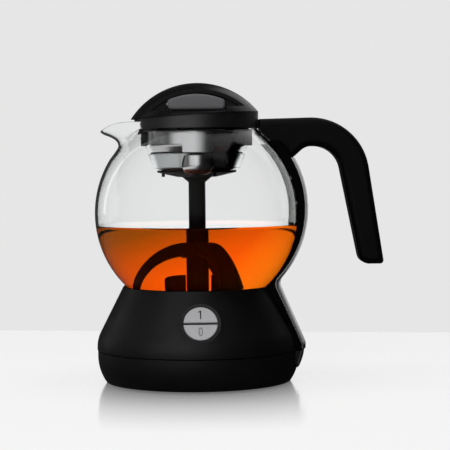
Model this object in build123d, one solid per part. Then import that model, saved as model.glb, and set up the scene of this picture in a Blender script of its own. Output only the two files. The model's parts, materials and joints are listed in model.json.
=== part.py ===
from build123d import *
import os
from math import atan, cos, degrees, radians, sin, sqrt, tan

# Automatic tea maker. Millimetres, +Z up, +X handle, -X spout, -Y front with the keys.
# The origin is the centre of the resting plane.

# fits
screw_fit = 0.05       # shank in its hole, radial
key_fit = 0.06         # key stem in its guide, radial
lift_gap = 0.3         # between pieces that lift apart
shank_r = 1.5
head_r = 2.8
head_t = 1.8
far = 300.0            # past every piece

# power base
seam_z = 24.0
base_r = 73.8
bowl_x = 40.4          # centre of the round of the bowl's side
bowl_z = 20.0
base_low_z = 1.2
base_wall = 2.5
deck_t = 2.4
plate_z = (1.6, 3.8)
plate_fit = 0.32       # between the plate's edge and the bowl
plate_r = bowl_x + sqrt((base_r - bowl_x - base_wall) ** 2 - (bowl_z - plate_z[0]) ** 2) - plate_fit
pad_r = 7.0
pad_at = plate_r - 14.9
pad_t = 2.2
base_boss_r = 3.8
base_boss_at = plate_r - 10.9
socket_r = 20.4
socket_top = 33.0
socket_low = 12.0
groove_r = (9.0, 12.0)
groove_floor = 18.0
cup_bore_r = 4.2
cup_floor = 16.0
cord_z = 11.0
cord_hole_r = 4.6
tab_half = 25.2
tab_low = 11.6
tab_x = (base_r + 4.2, base_r + 3.2, base_r + 0.5)   # outer edge of the tab's steel strip, top to bottom

# heater housing of the jug
housing_r = base_r + 0.4
housing_low = 24.6
housing_wall = 2.4
heater_r = 55.5
rim_r = heater_r - 0.8
rim_z = 70.6
rim_in_r = heater_r - 2.5
shoulder_z = 32.14     # where the cone's slope would meet the side
shoulder_round = 24.0
cone_rise = (housing_r - rim_r) / (rim_z - shoulder_z)   # growth of the radius for each millimetre down
ledge_z = (61.8, 64.3)
ledge_in_r = heater_r - 2.9
cover_fit = 0.4
cover_r = housing_r - housing_wall - cover_fit
cover_t = 2.4
jug_boss_r = 3.5
jug_boss_at = cover_r - 5.9
jug_boss_top = 42.0
ring_foot = (cover_r - 11.4, cover_r - 7.4)
well_r = (21.5, 23.5)
well_top = 37.0
well_hole_r = 14.1

# glass
ball_r = 75.0
glass_t = 2.0
neck_r = 43.3
glass_foot_r = heater_r - 4.5
glass_foot_z = 61.3
foot_rise = 7.71       # straight part of the foot
neck_rise = 5.56       # straight part of the neck
neck_round = 5.0
ball_z = glass_foot_z + foot_rise + sqrt(ball_r ** 2 - glass_foot_r ** 2)
glass_rim_z = ball_z + sqrt(ball_r ** 2 - neck_r ** 2) + neck_rise
spout_out = ((-9.3, 21.0, -24.8, -0.8), (14.2, 13.0, -17.2, -0.3),   # out from the neck, half width,
             (22.7, 7.6, -10.2, -2.3), (28.0, 3.2, -8.4, -5.2))      # low and middle from the rim

# heater under the jug
heater_z = (58.5, 60.0)
clamp_z = 56.5
clamp_in_r = heater_r - 10.5
clamp_at = heater_r - 1.7
seal_r = heater_r - 7.9
element_r = 36.0
element_wire = 4.0
thermostat_r = 11.0

# keys
face_z = 48.8
key_tilt = degrees(atan(cone_rise)) - 4.885   # the shoulder's round is less steep than the cone
key_r = 11.9
key_gap = 1.6
bezel_r = 14.2
stem_r = 2.0
stem_at = 5.5

# spine and its steel strip
spine_gap = 0.8        # filled by the bond pads
spine_back = (5.5, ball_z + 3.0, ball_r + 1.05)   # centre and radius round the glass
waist_point = (rim_r + 7.8, rim_z - 3.2)
waist_round = 7.0
spine_low_x = housing_r + 4.8
spine_low_z = 28.9     # where the spine's slope would meet its side
spine_rise = (spine_low_x - waist_point[0]) / (waist_point[1] - spine_low_z)
strip_t = 0.8
spine_top = glass_rim_z - 14.8
strip_top = glass_rim_z - 26.8
seat_in = 6.2          # from the cone's face to the seats of the spine's screws
spine_screws_at = ((50.0, 7.2), (38.0, 8.0))   # height and length
spine_half = (23.0, 25.5)
strip_inset = 1.0
slot_angles = (20.0, 5.4, -9.5)
slot_h = 3.2
slot_w = 26.0

# handle
handle_half = 11.0
handle_wall = 2.6
handle_round = 4.5
handle_low = ball_z - 38.5
handle_corners = ((neck_r + 2.7, glass_rim_z + 1.55, 0), (ball_r + 45.2, glass_rim_z + 3.3, 43.0),
                  (ball_r + 62.0, handle_low, 2.5), (ball_r + 44.5, handle_low, 8.0),
                  (ball_r + 27.0, glass_rim_z - 18.5, 20.0), (ball_r + 4.5, glass_rim_z - 18.6, 12.0),
                  (ball_r - 3.8, glass_rim_z - 26.0, 0), (ball_r - 23.0, glass_rim_z - 32.8, 0),
                  (neck_r + 2.7, glass_rim_z - 14.8, 0))
handle_screws_at = ((ball_r + 9.0, glass_rim_z - 8.3), (ball_r + 39.5, glass_rim_z - 30.8),
                    (ball_r + 49.0, ball_z - 16.0))
root_screw_angle = 37.0
root_screw_y = 6.0
root_screw_in = 4.05   # from the spine's back to the seats of the root screws

# infuser
riser_r = 6.2
riser_bore = 4.2
riser_top = glass_rim_z - 18.8
stand_z = heater_z[1] + lift_gap
bell_r = (15.5, 18.5)
bell_top = 88.0
leg_half = 6.3
basket_r = neck_r - 5.8
basket_top = glass_rim_z - 8.3
basket_low = glass_rim_z - 34.8
basket_t = 0.8
basket_slope = (basket_r - 3.9, basket_r - 8.1)   # radii of the lower wall, top and bottom
mesh_slope = 0.14
sleeve_t = 1.5
collar_r = (basket_r - 2.0, basket_r + 0.9)
collar_top = basket_top + 4.5
ear_r = neck_r - 2.4
cup_r = 12.2
cup_y = -24.3
cup_z = (basket_low - 4.0, basket_low + 9.8)

# lid
crown_r = 58.06
crown_x = 0.5
crown_t = 2.6
crown_rim = glass_rim_z + 4.5
crown_z = crown_rim - 34.2
crown_tilt = 3.0
recess_y = 24.5
recess_lip = 3.0
recess_wall = 2.0
recess_floor = crown_rim + 4.2
skirt_r = neck_r + 2.1
skirt_t = 1.5
skirt_low = glass_rim_z - 5.2
lid_plate_z = (glass_rim_z + 0.4, glass_rim_z + 1.8)
plug_r = neck_r - 4.8
button_half = 20.7
button_z = (crown_rim + 3.6, crown_rim + 14.8)
button_x = -0.7
button_y = 28.0
button_back = 12.0
carrier_half = 6.0
lid_screw_at = ((31.0, 9.0), (-31.0, 9.0), (-31.0, -9.0), (31.0, -9.0))
wire_r = 0.35

UP = (Align.CENTER, Align.CENTER, Align.MIN)


# ---------------------------------------------------------------- helpers
def disc(r, z0, z1, x=0.0, y=0.0):
    return Pos(x, y, z0) * Cylinder(r, z1 - z0, align=UP)


def ring(r_in, r_out, z0, z1, x=0.0, y=0.0):
    return disc(r_out, z0, z1, x, y) - disc(r_in, z0, z1, x, y)


def block(x0, x1, y0, y1, z0, z1):
    return Pos((x0 + x1) / 2, (y0 + y1) / 2, (z0 + z1) / 2) * Box(x1 - x0, y1 - y0, z1 - z0)


def outline(*corners):
    """Closed face from (u, v) or (u, v, round) corners."""
    points = [Vector(c[0], c[1]) for c in corners]
    rounds = [c[2] if len(c) > 2 else 0 for c in corners]
    cuts = []
    for i, here in enumerate(points):
        back = (points[i - 1] - here).normalized()
        ahead = (points[(i + 1) % len(points)] - here).normalized()
        half = radians(back.get_angle(ahead)) / 2
        reach = rounds[i] / tan(half)
        middle = here + (back + ahead).normalized() * (rounds[i] / sin(half) - rounds[i])
        cuts.append((here + back * reach, middle, here + ahead * reach))
    edges = []
    for i, (start, middle, end) in enumerate(cuts):
        if rounds[i]:
            edges.append(ThreePointArc(start, middle, end))
        following = cuts[(i + 1) % len(cuts)][0]
        if (following - end).length > 0.001:
            edges.append(Line(end, following))
    return make_face(edges)


def turned(face, angle=360.0):
    """Solid of revolution about Z from a face drawn as (r, z), centred on +X when partial."""
    return Rot(0, 0, 0 if angle == 360.0 else -angle / 2) * revolve(Plane.XZ * face, Axis.Z, angle)


def across(face, y0, y1):
    """Solid between two Y planes from a face drawn as (x, z)."""
    return extrude(Plane.XZ.offset(-y1) * face, y1 - y0)


def around(shape, count, start=0.0):
    return [Rot(0, 0, start + 360.0 * k / count) * shape for k in range(count)]


def group(pieces):
    return Compound(children=[s for p in pieces for s in p.solids()])


def screw(length, head=head_r, shank=shank_r):
    """Screw along +Z, the underside of its head at the origin."""
    return disc(shank, 0, length) + disc(head, -head_t, 0)


def screw_hole(length, shank=shank_r):
    return disc(shank + screw_fit, -0.1, length + 0.6)


def coil(radius, wire, length, turns):
    """Spring along +Z."""
    lead = Helix(pitch=(length - 2 * wire) / turns, height=length - 2 * wire, radius=radius)
    wire_face = Plane(lead @ 0, z_dir=lead % 0) * Circle(wire)
    return Pos(0, 0, wire) * sweep(wire_face, lead, is_frenet=True)


# ---------------------------------------------------------------- power base
def bowl(inset, low, top):
    """The base's outer form drawn in by an inset, between two heights."""
    def side(z):
        return bowl_x + sqrt((base_r - bowl_x - inset) ** 2 - (bowl_z - z) ** 2)

    half_up = (low + bowl_z) / 2
    curve = ThreePointArc((side(low), low), (side(half_up), half_up), (base_r - inset, bowl_z))
    rest = Polyline((base_r - inset, bowl_z), (base_r - inset, top), (0, top), (0, low), (side(low), low))
    return turned(make_face(curve.edges() + rest.edges()))


def tab_form(inset, low, top):
    """The tab's outer form over the base's side, drawn in by an inset."""
    x0, x1, x2 = [x - inset for x in tab_x]
    curve = ThreePointArc((x0, seam_z), (x1, (seam_z + tab_low) / 2 + 1.0), (x2, tab_low))
    back = base_r - 13.8
    rest = Polyline((x2, tab_low), (back, tab_low), (back, seam_z), (x0, seam_z))
    form = turned(make_face(curve.edges() + rest.edges()), 80.0)
    return form & block(0, far, -far, far, low, top)


def tab_front(half, low, round_r):
    """Prism along +X that gives the tab its width and round lower corners."""
    face = outline((-half, low, round_r), (half, low, round_r), (half, far), (-half, far))
    return extrude(Plane.YZ * face, far)


def base_shell():
    outer = bowl(0, base_low_z, seam_z)
    tab = tab_form(strip_t, tab_low, seam_z) & tab_front(tab_half, tab_low, 4.0)
    tab = fillet(tab.edges().group_by(Axis.Z)[0].filter_by(GeomType.CIRCLE).sort_by(SortBy.LENGTH)[-1], 2.0)
    shell = outer + tab - bowl(base_wall, base_low_z, seam_z - deck_t)
    shell -= disc(socket_r + 0.1, 0, 60)
    boss = disc(base_boss_r, plate_z[1], seam_z - deck_t + 0.1, base_boss_at)
    pilot = disc(shank_r + screw_fit, 0, 18.0, base_boss_at)
    shell += around(boss, 4, 45)
    shell -= around(pilot, 4, 45)
    shell -= Pos(0, base_r, cord_z) * Rot(90, 0, 0) * Cylinder(cord_hole_r, 20)
    return shell


def base_plate():
    plate = disc(plate_r, *plate_z)
    plate += disc(8.0, plate_z[1], socket_low)
    plate -= around(disc(pad_r + 0.1, 0, pad_t, pad_at), 4) + [disc(pad_r + 0.1, 0, pad_t)]
    plate -= around(disc(head_r + 0.2, 0, plate_z[0] + 1.4, base_boss_at), 4, 45)
    plate -= around(disc(shank_r + 0.1, 0, 10, base_boss_at), 4, 45)
    return plate


def base_feet():
    """Four rubber pads near the rim and one under the socket, where the jug is pressed down."""
    pad = disc(pad_r, 0, pad_t)
    pad = fillet(pad.edges().group_by(Axis.Z)[0], 0.6)
    return group(around(Pos(pad_at, 0, 0) * pad, 4) + [pad])


def base_screws():
    seat = plate_z[0] + 1.4
    one = disc(shank_r, seat, 14.0, base_boss_at) + disc(head_r, seat - 1.3, seat, base_boss_at)
    return group(around(one, 4, 45))


def base_socket():
    body = disc(socket_r, socket_low, socket_top)
    body = chamfer(body.edges().group_by(Axis.Z)[-1], 1.0)
    body += disc(26.0, seam_z - deck_t - 2.0, seam_z - deck_t)
    body -= disc(cup_bore_r, cup_floor, socket_top)
    body -= ring(*groove_r, groove_floor, socket_top)
    return body


def socket_contacts():
    outer = ring(groove_r[0] + 0.3, groove_r[1] - 0.3, groove_floor, groove_floor + 2.0)
    return group([outer, disc(cup_bore_r - 0.2, cup_floor, cup_floor + 2.0)])


def cord_bush():
    """Gland where the mains cord would pass through the back of the base."""
    neck = Pos(0, base_r - 4.5, cord_z) * Rot(90, 0, 0) * Cylinder(cord_hole_r - 0.1, 9)
    flange = Pos(0, base_r - 1.0, cord_z) * Rot(90, 0, 0) * Cylinder(6.6, 4.4)
    inner = Pos(0, base_r - 7.0, cord_z) * Rot(90, 0, 0) * Cylinder(6.2, 6.0)
    flange = flange - bowl(0, base_low_z, seam_z)
    inner = inner & bowl(base_wall, plate_z[1], seam_z - deck_t)
    bush = neck + flange + inner
    return bush - Pos(0, base_r, cord_z) * Rot(90, 0, 0) * Cylinder(3.2, 60)


def base_tab_strip():
    strip = tab_form(0, tab_low, seam_z - 0.3) - tab_form(strip_t, tab_low, seam_z)
    return strip & tab_front(tab_half - strip_inset, tab_low, 3.5)


# ---------------------------------------------------------------- heater housing
def cone_r(z):
    return rim_r + (rim_z - z) * cone_rise


def cone_form(grow, low, top):
    """The housing's outer form grown by an amount, between two heights."""
    slant = grow * sqrt(1 + cone_rise ** 2)
    side = housing_r + grow
    corner_z = rim_z - (side - rim_r - slant) / cone_rise
    top_r = cone_r(top) + slant
    return turned(outline((0, low), (side, low), (side, corner_z, shoulder_round + grow), (top_r, top), (0, top)))


def heater_housing():
    outer = cone_form(0, housing_low, rim_z)
    slant = rim_r - rim_in_r
    inner_low = housing_r - housing_wall
    lip_z = rim_z - 2.0
    corner_z = lip_z - (inner_low - rim_in_r) / cone_rise
    inner = turned(outline((0, housing_low), (inner_low, housing_low),
                           (inner_low, corner_z, shoulder_round - housing_wall),
                           (rim_in_r, lip_z), (rim_in_r, rim_z), (0, rim_z)))
    shell = fillet(outer.edges().group_by(Axis.Z)[-1], slant / 2 - 0.05) - inner
    shell += ring(ledge_in_r, cone_r(ledge_z[0]) - 1.0, *ledge_z) & outer
    shell -= disc(ledge_in_r, ledge_z[0] - 3, ledge_z[1] + 1)
    boss = disc(jug_boss_r, housing_low + cover_t, jug_boss_top, jug_boss_at)
    shell += [b & outer for b in around(boss, 4, 45)]
    shell -= around(disc(shank_r + screw_fit, 20, 40.0, jug_boss_at), 4, 45)
    for z, _ in spine_screws_at:
        flat = cone_r(z) - seat_in
        post = Pos(flat + 6, 0, z) * Rot(0, 90, 0) * Cylinder(4.5, 12)
        shell += post & outer
        shell -= Pos(flat + 10, 0, z) * Rot(0, 90, 0) * Cylinder(shank_r + screw_fit, 30)
    shell -= around(disc(1.2 + screw_fit, ledge_z[0] - 1, ledge_z[1] - 0.4, clamp_at), 6)
    shell -= key_frame(disc(bezel_r + 0.1, -6, 10))
    return shell


def jug_bottom_cover():
    top = housing_low + cover_t
    cover = disc(cover_r, housing_low, top)
    cover += ring(*ring_foot, seam_z, housing_low)
    cover += ring(*well_r, housing_low, well_top)
    cover += disc(well_r[1], well_top - 2.0, well_top)
    cover -= disc(well_r[0], 20, well_top - 2.0)
    cover -= disc(well_hole_r, 30, 40)
    cover -= around(disc(head_r + 0.2, 20, housing_low + 1.3, jug_boss_at), 4, 45)
    cover -= around(disc(shank_r + 0.1, 20, 30, jug_boss_at), 4, 45)
    return cover


def jug_screws():
    seat = housing_low + 1.3
    one = disc(shank_r, seat, 38.0, jug_boss_at) + disc(head_r, seat - 1.2, seat, jug_boss_at)
    return group(around(one, 4, 45))


def jug_plug():
    plug = disc(well_hole_r - 0.1, well_top - 2.9, well_top + 7) + disc(18.0, well_top, well_top + 2)
    plug -= disc(3.6, 0, 42.0)
    plug -= ring(9.8, 11.2, 0, 40.0)
    return plug


def plug_contacts():
    return group([disc(3.6, 20.0, 42.0), ring(9.8, 11.2, 22.0, 40.0)])


def glass_seal():
    seal = ring(seal_r, ledge_in_r, heater_z[1], ledge_z[1] + 1.7)
    seal += ring(seal_r, heater_r - 0.3, heater_z[1], ledge_z[0])
    seal -= ring(glass_foot_r - glass_t - 0.05, glass_foot_r + 0.05, glass_foot_z, far)
    seal -= around(disc(1.3, clamp_z, far, clamp_at), 6)
    return seal


def heater_plate():
    return disc(heater_r, *heater_z) - around(disc(1.3, clamp_z, far, clamp_at), 6)


def clamp_ring():
    return ring(clamp_in_r, heater_r, clamp_z, heater_z[0]) - around(disc(1.3, 0, far, clamp_at), 6)


def clamp_screws():
    one = disc(1.2, clamp_z, ledge_z[1] - 0.6, clamp_at) + disc(2.2, clamp_z - 1.6, clamp_z, clamp_at)
    return group(around(one, 6))


def heating_element():
    z = heater_z[0] - element_wire
    bend = turned(Pos(element_r, z) * Circle(element_wire), 300.0)
    ends = []
    for angle in (147.0, -147.0):
        ends.append(Rot(0, 0, angle) * disc(1.5, z - 10.0, z, element_r))
    return Rot(0, 0, 180) * (bend + ends[0] + ends[1])


def thermostat():
    body = disc(thermostat_r, heater_z[0] - 8.0, heater_z[0])
    for x in (-5.0, 5.0):
        body += block(x - 0.4, x + 0.4, -3.0, 3.0, heater_z[0] - 13.0, heater_z[0] - 8.0)
    return body


# ---------------------------------------------------------------- keys
def key_frame(shape):
    """Place a shape drawn with Z out of the cone's face and Y up along it."""
    origin = (0, -cone_r(face_z), face_z)
    normal = (0, -cos(radians(key_tilt)), sin(radians(key_tilt)))
    return Plane(origin=origin, x_dir=(1, 0, 0), z_dir=normal) * shape


def half_moon(side, out, deep):
    """Half disc above (side 1) or below (side -1) the gap between the keys."""
    near, away = sorted((side * key_gap / 2, side * 30))
    return disc(key_r, deep, out) & block(-20, 20, near, away, deep, out)


def key(side):
    moon = half_moon(side, 0.7, -2.5)
    moon = fillet(moon.edges().group_by(Axis.Z)[-1], 0.5)
    return key_frame(moon + disc(stem_r, -12.5, -2.4, 0, side * stem_at))


def key_spring(side):
    return key_frame(Pos(0, side * stem_at, -8.9) * coil(3.2, wire_r, 6.3, 4))


def switch_bezel():
    face = outline((12.2, -4.0), (bezel_r, -4.0), (bezel_r, 0.2), (12.6, -1.2), (12.2, -1.2))
    return key_frame(turned(face))


def switch_block():
    body = block(-16, 16, -8.5, 8.5, -16.0, -5.0)
    for side in (1, -1):
        body -= disc(4.2, -9.0, -5.0, 0, side * stem_at)
        body -= disc(stem_r + key_fit, -16.0, -9.0, 0, side * stem_at)
    for x in (-15.3, 15.3):
        body += block(x - 0.7, x + 0.7, -6.0, 6.0, -5.0, -3.2)
    return key_frame(body) & cone_form(-housing_wall - 0.05, 30, 60)


# ---------------------------------------------------------------- glass
def ball(r):
    return Pos(0, 0, ball_z) * Sphere(r)


def glass_form(inset, low, top):
    """The jug's form drawn in by an inset: ball, neck and foot."""
    r = ball_r - inset
    neck = neck_r - inset
    foot = glass_foot_r - inset
    low_z = ball_z - sqrt(r * r - foot * foot)
    high_z = ball_z + sqrt(r * r - neck * neck)
    side = ThreePointArc((foot, low_z), (r, ball_z), (neck, high_z))
    rest = Polyline((neck, high_z), (neck, top), (0, top), (0, low), (foot, low), (foot, low_z))
    face = make_face(side.edges() + rest.edges())
    corner = face.vertices().sort_by_distance((neck, high_z))[0]
    return turned(fillet(corner, neck_round))


def spout_form(inset):
    """Pulled spout as a loft of ellipses along -X."""
    rings = []
    for out, half, low, mid in spout_out:
        side = max(half - inset, 1.2)
        deep = max(mid - low - inset, 1.2)
        origin = (-neck_r - out, 0, glass_rim_z + mid)
        rings.append(Plane(origin=origin, x_dir=(0, 1, 0), z_dir=(-1, 0, 0)) * Ellipse(side, deep))
    if inset:
        out, _, _, mid = spout_out[-1]
        origin = (-neck_r - out - 4.0, 0, glass_rim_z + mid + 0.4)
        rings.append(Plane(origin=origin, x_dir=(0, 1, 0), z_dir=(-1, 0, 0)) * Ellipse(1.2, 1.2))
    return loft(rings)


def glass_jug():
    inside, tip, drop = 13.3 - neck_r, -neck_r - 32.7, glass_rim_z - 8.8
    over = outline((inside, glass_rim_z), (-neck_r - 14.7, glass_rim_z - 0.2, 12.0),
                   (-neck_r - 23.2, glass_rim_z - 3.8, 10.0), (tip, drop), (-far, drop), (-far, far), (inside, far))
    spout = spout_form(0) - across(over, -far, far)
    spout -= disc(neck_r, glass_rim_z, far)
    glass = glass_form(0, glass_foot_z, glass_rim_z) + spout
    glass -= glass_form(glass_t, glass_foot_z, glass_rim_z)
    return glass - (spout_form(glass_t) - disc(20, 0, far))


# ---------------------------------------------------------------- spine
def spine_face(inset):
    """Half outline of the spine's back: round the glass, in at the waist, out down the cone."""
    cx, cz, r = spine_back
    side = spine_low_x - inset
    drift = inset * sqrt(1 + spine_rise ** 2)

    def line_x(z):
        return waist_point[0] + (waist_point[1] - z) * spine_rise - drift

    corner_z = waist_point[1] - (side - waist_point[0] + drift) / spine_rise
    low = outline((25.0, 15.0), (side, 15.0), (side, corner_z, 5.0 - inset), (line_x(90.0), 90.0), (25.0, 90.0))
    high = (Pos(cx, cz) * Circle(r - inset)) & outline((25.0, 60.0), (far, 60.0), (far, far), (25.0, far))
    face = low + high
    corner = max((v for v in face.vertices() if corner_z + 10.0 < v.Y < cz), key=lambda v: v.X)
    return fillet(corner, waist_round + inset)


def spine_width(inset):
    top, low = [w - inset for w in spine_half]
    high = spine_top + 2.0
    face = outline((-top, high), (top, high), (low, housing_low), (-low, housing_low))
    return extrude(Plane.YZ * face, far)


def spine_slots():
    slots = []
    for angle in slot_angles:
        a = radians(angle)
        out = Vector(cos(a), 0, sin(a))
        plane = Plane(origin=Vector(0, 0, ball_z) + out * (ball_r - 5.0), x_dir=(0, 1, 0), z_dir=out)
        slots.append(extrude(plane * SlotOverall(slot_w, slot_h), 20.0))
    return slots


def root_screw(shape, side):
    """Place a shape drawn along +Z on a root screw's line, its origin at the seat of the head."""
    cx, cz, r = spine_back
    a = radians(root_screw_angle)
    out = Vector(cos(a), 0, sin(a))
    origin = Vector(cx, side * root_screw_y, cz) + out * (r - root_screw_in)
    return Plane(origin=origin, x_dir=(0, 1, 0), z_dir=out) * shape


def spine_screw(shape, z):
    """Place a shape drawn along +Z on a spine screw's line, its origin at the seat of the head."""
    return Plane(origin=(cone_r(z) - seat_in, 0, z), x_dir=(0, 1, 0), z_dir=(1, 0, 0)) * shape


def spine():
    body = turned(spine_face(strip_t), 100.0) & spine_width(0)
    body &= block(0, far, -far, far, housing_low, spine_top)
    body -= ball(ball_r + spine_gap)
    body -= cone_form(0.35, housing_low, rim_z + 0.35)
    body -= spine_slots()
    for side in (1, -1):
        body -= root_screw(disc(head_r + 0.2, -8, 0), side)
        body -= root_screw(screw_hole(20), side)
    for z, length in spine_screws_at:
        body -= spine_screw(screw_hole(length + 0.2), z)
    return body


def spine_strip():
    strip = turned(spine_face(0), 100.0) - turned(spine_face(strip_t), 100.0)
    strip &= spine_width(strip_inset)
    strip &= block(40, far, -far, far, housing_low + 0.3, strip_top)
    strip -= spine_slots()
    return strip


def bond_pads():
    pads = []
    for angle in (12.7, -2.0):
        a = radians(angle)
        out = Vector(cos(a), 0, sin(a))
        plane = Plane(origin=Vector(0, 0, ball_z) + out * (ball_r - 15.0), x_dir=(0, 1, 0), z_dir=out)
        pad = extrude(plane * RectangleRounded(30.0, 7.0, 2.0), 30)
        pads.append(pad & (ball(ball_r + spine_gap) - ball(ball_r)))
    return group(pads)


def spine_screws():
    return group([spine_screw(screw(length), z) for z, length in spine_screws_at])


def root_screws():
    return group([root_screw(screw(11.0), side) for side in (1, -1)])


# ---------------------------------------------------------------- handle
def handle_body(inset):
    """One piece handle form before it is parted down the middle."""
    face = outline(*handle_corners)
    half = handle_half - inset
    if inset:
        face = offset(face, -inset, kind=Kind.INTERSECTION)
    return across(face, -half, half)


def handle_halves():
    body = handle_body(0)
    long_edges = [e for e in body.edges() if abs(abs(e.center().Y) - handle_half) < 0.01]
    soft = [e for e in long_edges if e.center().X > ball_r - 3.0 or e.center().Z > glass_rim_z - 0.8]
    body = fillet(soft, handle_round)
    cx, cz, r = spine_back
    window = outline((20, 60), (far, 60), (far, spine_top + 0.3), (20, spine_top + 0.3))
    body -= turned(Pos(cx, cz) * Circle(r - strip_t + 0.1) & window, 100.0)
    body -= ball(ball_r + 0.6)
    body -= disc(neck_r + 4.7, spine_top - 6.0, spine_top + 8.0)
    hollow = handle_body(handle_wall) & block(ball_r + 2.0, far, -20, 20, 60, far)
    hollow = fillet([e for e in hollow.edges() if abs(abs(e.center().Y) - handle_half + handle_wall) < 0.01
                     and e.center().X > ball_r + 2.5], handle_round - handle_wall)
    body -= hollow
    for x, z in handle_screws_at:
        body += Pos(x, 0, z) * Rot(90, 0, 0) * Cylinder(4.2, 2 * (handle_half - handle_wall) + 0.4)
    for side in (1, -1):
        body -= root_screw(screw_hole(11.0), side)
    for x, z in handle_screws_at:
        body -= Pos(x, 5.0, z) * Rot(-90, 0, 0) * disc(head_r + 0.2, 0, 10)
        body -= Pos(x, 5.0, z) * Rot(90, 0, 0) * disc(shank_r + screw_fit, -0.1, 13.5)
    front = body & block(0, far, -30, 0, 0, far)
    back = body & block(0, far, 0, 30, 0, far)
    return front, back


def handle_screws():
    return group([Pos(x, 5.0, z) * Rot(90, 0, 0) * screw(12.0) for x, z in handle_screws_at])


# ---------------------------------------------------------------- infuser
def riser_tube():
    low = stand_z + 2.7
    flare, brim, shelf = basket_low - 9.5, basket_low - 5.2, basket_low - 2.5
    outer = outline((riser_bore, low), (riser_r, low), (riser_r, flare), (11.4, brim), (11.4, shelf),
                    (riser_r, shelf), (riser_r, riser_top, 0.6), (riser_bore, riser_top))
    return turned(outer)


def riser_foot():
    out = Pos(6.0, 68.0) * Ellipse(33.5, 39.5)
    inn = Pos(6.0, 68.0) * Ellipse(30.5, 32.1)
    leg = (out - inn) & outline((riser_r, stand_z), (60, stand_z), (60, 120), (riser_r, 120))
    leg = across(leg, -leg_half, leg_half)
    leg = fillet(leg.edges().filter_by(GeomType.ELLIPSE), 1.2)
    foot = disc(9.0, 99.2, 107.4) + around(leg, 3, 180)
    return foot - disc(riser_r, 50, 120)


def riser_bell():
    """Open ring round the riser's lower end that gathers the bubbles, with windows front and back."""
    bell = turned(outline((bell_r[0], stand_z), (bell_r[1], stand_z), (bell_r[1], bell_top, 1.2),
                          (bell_r[0], bell_top, 1.2)))
    bell -= block(-7.5, 7.5, -30, 30, stand_z + 6, 100)
    floor = disc(bell_r[1], stand_z, stand_z + 2.7) - disc(riser_bore, 50, 70)
    floor += ring(riser_r, riser_r + 2.0, stand_z, stand_z + 8.0)
    floor -= around(disc(2.2, 50, 64, 11.8), 6, 30)
    return bell + floor


def basket_form(inset, low_open):
    waist, low = basket_slope
    return turned(outline((0, basket_top), (basket_r - inset, basket_top),
                          (basket_r - inset, basket_low + 17.0, 3.0),
                          (waist - inset, basket_low + 11.2, 3.0),
                          (low - inset, basket_low + inset * (1 - mesh_slope), 2.0 - inset),
                          (low_open, basket_low + inset - (low - low_open) * mesh_slope),
                          (0, basket_low - 4.0 + inset)))


def filter_basket():
    shell = basket_form(0, 24.0) - basket_form(basket_t, 24.0)
    return shell - disc(24.0, basket_low - 16.0, basket_low + 4.0)


def filter_mesh():
    """Perforated cone floor of the basket."""
    def floor_z(r):
        return basket_low + basket_t - (basket_slope[1] - r) * mesh_slope

    face = outline((riser_r, floor_z(riser_r)), (27.0, floor_z(27.0)), (27.0, floor_z(27.0) + 0.6),
                   (riser_r, floor_z(riser_r) + 0.6))
    mesh = turned(face)
    for radius, count in ((14.0, 8), (20.5, 12)):
        mesh -= around(disc(1.6, 0, far, radius), count)
    return mesh


def basket_dish():
    """Black bottom rim that gathers the drips towards the riser."""
    low, edge = basket_low - 5.6, basket_slope[1] - 0.4
    face = outline((11.4, low), (14.0, low), (edge, low + 3.4), (edge, low + 4.9), (14.0, low + 1.6),
                   (11.4, low + 1.6))
    dish = turned(face)
    post = disc(1.2, low + 0.2, low + 5.2, edge - 4.4)
    dish += [p - basket_form(0, 24.0) for p in around(post, 3, 60)]
    for angle in (0, 60, 120, 180, 240, 300):
        dish -= Rot(0, 0, angle + 30) * block(16.0, 22.0, -0.9, 0.9, 0, far)
    return dish


def basket_sleeve():
    """Clear sleeve over the lower slope of the basket, open at the front for the cup."""
    gap = lift_gap + 0.05
    high, low = basket_low + 11.0, basket_low + 0.6
    r_high, r_low = basket_slope[0], basket_slope[1] + 0.2
    face = outline((r_high + gap, high), (r_high + gap + sleeve_t, high), (r_low + gap + sleeve_t, low),
                   (r_low + gap, low))
    sleeve = turned(face) - basket_form(0, 24.0)
    within = turned(outline((20, low), (r_low + 1.0, low), (r_high + 1.0, high), (20, high)))
    for angle in (50, 180, 310):
        rib = Rot(0, 0, angle) * block(r_low + 0.4, r_high + 2.4, -1.0, 1.0, low + 3.4, low + 6.4)
        sleeve += (rib - basket_form(0, 24.0)) & within
    return sleeve - block(-13.0, 13.0, -far, 0, 0, far)


def basket_collar():
    collar = ring(*collar_r, basket_top, collar_top)
    collar = fillet(collar.edges().group_by(Axis.Z)[-1].sort_by(SortBy.LENGTH)[-1], 1.0)
    ears = ring(basket_r, ear_r, basket_top - 9.2, basket_top + 1.5) & block(-far, far, -6.0, 6.0, 0, far)
    return collar + ears


def outlet_channel():
    return ring(basket_r, basket_r + 1.5, basket_top - 14.5, basket_top) & block(-11.0, 11.0, -far, 0, 0, far)


def outlet_cup():
    cup = disc(cup_r, *cup_z, 0, cup_y)
    cup = fillet(cup.edges().group_by(Axis.Z)[0], 7.0)
    hollow = disc(cup_r - basket_t, cup_z[0] + basket_t, cup_z[1], 0, cup_y)
    hollow = fillet(hollow.edges().group_by(Axis.Z)[0], 6.2)
    cup = cup - hollow - basket_form(0, 24.0) - disc(basket_slope[1] - 0.1, 0, basket_low + 1.0)
    return cup.solids().sort_by(Axis.Y)[0]


# ---------------------------------------------------------------- lid
def lean(shape):
    """Tilt a shape about the crown's rim, the handle side up."""
    return Pos(0, 0, crown_rim) * Rot(0, -crown_tilt, 0) * Pos(0, 0, -crown_rim) * shape


def crown_ball(inset):
    return Pos(crown_x, 0, crown_z) * Sphere(crown_r - inset)


def front_and_back(make):
    """A shape drawn at the back (+Y) and its twin at the front."""
    return [make, mirror(make, Plane.XZ)]


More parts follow.
